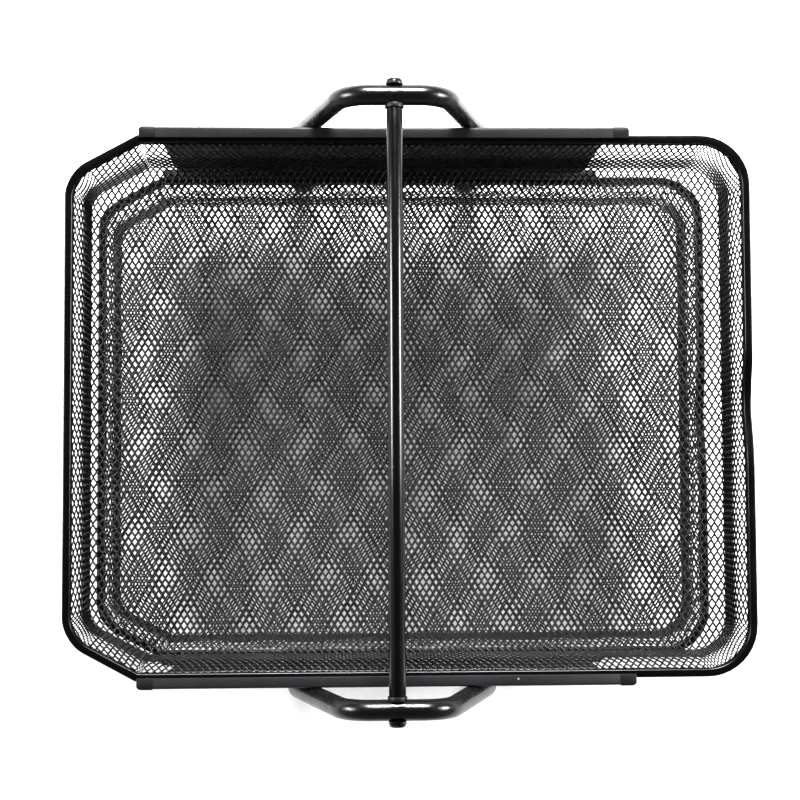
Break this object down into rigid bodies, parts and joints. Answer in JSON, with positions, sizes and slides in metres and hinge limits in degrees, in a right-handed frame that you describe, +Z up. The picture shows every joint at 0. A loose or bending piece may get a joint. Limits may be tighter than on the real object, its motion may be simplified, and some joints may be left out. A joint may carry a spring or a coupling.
{
  "type": "desk organizer",
  "caption": "Two mesh letter trays with black steel rims that slide forward in rails between bent-tube side frames, with a carrying rod across the top.",
  "frame": {"origin": "middle of the footprint, on the surface that the feet stand on", "axes": "+X towards the front, the way the trays pull out; +Y to the left side frame; +Z up"},
  "size_m": [0.35, 0.3088, 0.22],
  "materials": {
    "frame_tube": "satin black powder coat on bent steel tube",
    "handle_rod": "satin black powder coat on a steel rod",
    "rail_steel": "satin dark grey powder coat on folded steel",
    "rim_steel": "semi-gloss black powder coat on folded steel strip",
    "mesh_steel": "satin black powder coat on expanded steel mesh",
    "screw_steel": "black oxide",
    "black_plastic": "moulded, fine texture",
    "glide_plastic": "smooth acetal",
    "foot_rubber": "matt moulded rubber",
    "side_panel": "satin black powder coat on sheet steel"
  },
  "bodies": {
    "frame": {"left_side_frame": "frame_tube", "right_side_frame": "frame_tube", "left_front_foot": "foot_rubber", "left_rear_foot": "foot_rubber", "right_front_foot": "foot_rubber", "right_rear_foot": "foot_rubber", "handle_rod": "handle_rod", "handle_collars": "black_plastic", "handle_screws": "screw_steel", "lower_left_rail": "rail_steel", "lower_left_front_cap": "black_plastic", "lower_left_rear_cap": "black_plastic", "lower_right_rail": "rail_steel", "lower_right_front_cap": "black_plastic", "lower_right_rear_cap": "black_plastic", "lower_rail_screws": "screw_steel", "upper_left_rail": "rail_steel", "upper_left_front_cap": "black_plastic", "upper_left_rear_cap": "black_plastic", "upper_right_rail": "rail_steel", "upper_right_front_cap": "black_plastic", "upper_right_rear_cap": "black_plastic", "upper_rail_screws": "screw_steel", "left_side_panel": "side_panel", "right_side_panel": "side_panel"},
    "lower_tray": {"lower_tray_rim": "rim_steel", "lower_tray_mesh": "mesh_steel", "lower_left_glide": "glide_plastic", "lower_right_glide": "glide_plastic"},
    "upper_tray": {"upper_tray_rim": "rim_steel", "upper_tray_mesh": "mesh_steel", "upper_left_glide": "glide_plastic", "upper_right_glide": "glide_plastic"}
  },
  "joints": [
    {"name": "lower_tray_slide", "type": "slide", "parent": "frame", "child": "lower_tray", "axis": [1, 0, 0], "range_m": [0, 0.18]},
    {"name": "upper_tray_slide", "type": "slide", "parent": "frame", "child": "upper_tray", "axis": [1, 0, 0], "range_m": [0, 0.18]}
  ]
}
